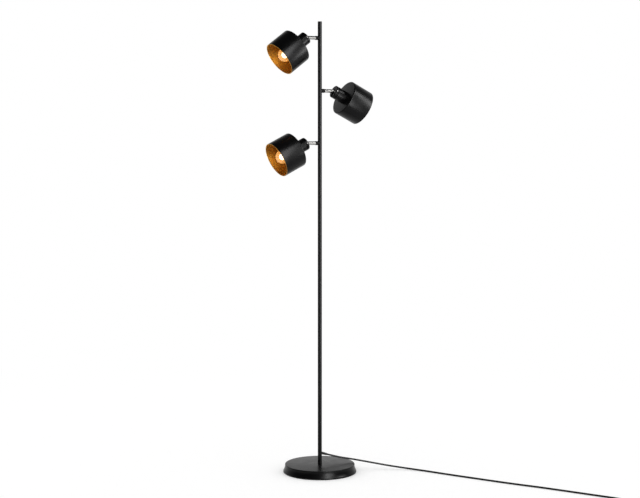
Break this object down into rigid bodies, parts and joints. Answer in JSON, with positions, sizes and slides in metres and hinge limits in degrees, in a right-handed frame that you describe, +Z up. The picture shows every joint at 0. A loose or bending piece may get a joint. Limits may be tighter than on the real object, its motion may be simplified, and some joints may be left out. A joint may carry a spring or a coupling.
{
  "type": "tree floor lamp",
  "caption": "Tree floor lamp: a round weighted base carries a slim pole with short side arms, each holding a drum-shaped spot head that rolls and tilts; lead with foot switch.",
  "frame": {"origin": "centre of the base's underside, on the floor", "axes": "+Z up along the pole; +X along the right arm, -X along the top and low arms; the heads tilt in the XZ plane; Y across them"},
  "size_m": [0.859, 1.0066, 1.525],
  "materials": {
    "black_lacquer": "satin black powder coat on steel and die-cast parts",
    "nickel_plate": "satin nickel plate",
    "black_plastic": "fine moulded texture",
    "cord_sheath": "smooth soft PVC",
    "opal_glass": "opal white, lit",
    "lamp_cap_metal": "rolled screw cap",
    "brass": "bare stamped brass",
    "zinc_steel": "zinc plated",
    "cast_iron": "raw sand cast",
    "foam_pad": "closed-cell foam",
    "wire_sleeve": "glass-fibre sleeved wires"
  },
  "bodies": {
    "stand": {"base_cover": "black_lacquer", "base_weight": "cast_iron", "base_pad": "foam_pad", "base_washer": "zinc_steel", "base_bolt": "zinc_steel", "pole_foot_bush": "zinc_steel", "pole_lower": "black_lacquer", "pole_middle": "black_lacquer", "pole_upper": "black_lacquer", "pole_couplers": "zinc_steel", "pole_cap": "black_lacquer", "arm_inserts": "zinc_steel", "arm_nipples": "zinc_steel", "collar_screws": "zinc_steel", "arm_collar_top": "black_lacquer", "arm_collar_right": "black_lacquer", "arm_collar_low": "black_lacquer", "cord_outlet": "black_plastic", "inner_cable": "wire_sleeve", "power_cord": "cord_sheath", "switch_base": "black_plastic", "switch_cover": "black_plastic", "switch_contacts": "brass", "switch_screws": "zinc_steel", "switch_reliefs": "cord_sheath", "cord_coil": "cord_sheath", "plug_body": "cord_sheath", "plug_pins": "nickel_plate"},
    "foot_switch_button": {"switch_button": "black_plastic"},
    "arm_top": {"arm_top": "nickel_plate"},
    "head_top": {"swivel_cap_top": "black_lacquer", "pivot_pin_top": "nickel_plate", "neck_sleeve_top": "black_lacquer", "lamp_holder_top": "black_plastic", "holder_contacts_top": "brass", "holder_ring_top": "black_plastic", "bulb_cap_top": "lamp_cap_metal", "bulb_globe_top": "opal_glass", "shade_top": "black_lacquer"},
    "arm_right": {"arm_right": "nickel_plate"},
    "head_right": {"swivel_cap_right": "black_lacquer", "pivot_pin_right": "nickel_plate", "neck_sleeve_right": "black_lacquer", "lamp_holder_right": "black_plastic", "holder_contacts_right": "brass", "holder_ring_right": "black_plastic", "bulb_cap_right": "lamp_cap_metal", "bulb_globe_right": "opal_glass", "shade_right": "black_lacquer"},
    "arm_low": {"arm_low": "nickel_plate"},
    "head_low": {"swivel_cap_low": "black_lacquer", "pivot_pin_low": "nickel_plate", "neck_sleeve_low": "black_lacquer", "lamp_holder_low": "black_plastic", "holder_contacts_low": "brass", "holder_ring_low": "black_plastic", "bulb_cap_low": "lamp_cap_metal", "bulb_globe_low": "opal_glass", "shade_low": "black_lacquer"}
  },
  "joints": [
    {"name": "roll_top", "type": "hinge", "parent": "stand", "child": "arm_top", "pos_m": [-0.0145, 0, 1.47], "axis": [-1, 0, 0], "range_deg": [-165, 165]},
    {"name": "tilt_top", "type": "hinge", "parent": "arm_top", "child": "head_top", "pos_m": [-0.057, 0, 1.47], "axis": [0, -1, 0], "range_deg": [-37, 33]},
    {"name": "roll_right", "type": "hinge", "parent": "stand", "child": "arm_right", "pos_m": [0.0145, 0, 1.295], "axis": [1, 0, 0], "range_deg": [-165, 165]},
    {"name": "tilt_right", "type": "hinge", "parent": "arm_right", "child": "head_right", "pos_m": [0.057, 0, 1.295], "axis": [0, 1, 0], "range_deg": [-26.5, 43.5]},
    {"name": "roll_low", "type": "hinge", "parent": "stand", "child": "arm_low", "pos_m": [-0.0145, 0, 1.12], "axis": [-1, 0, 0], "range_deg": [-165, 165]},
    {"name": "tilt_low", "type": "hinge", "parent": "arm_low", "child": "head_low", "pos_m": [-0.057, 0, 1.12], "axis": [0, -1, 0], "range_deg": [-26.5, 43.5]},
    {"name": "button_press", "type": "slide", "parent": "stand", "child": "foot_switch_button", "axis": [0, 0, -1], "range_m": [0, 0.003], "stiffness_N_per_m": 900, "springref_m": -0.003}
  ]
}
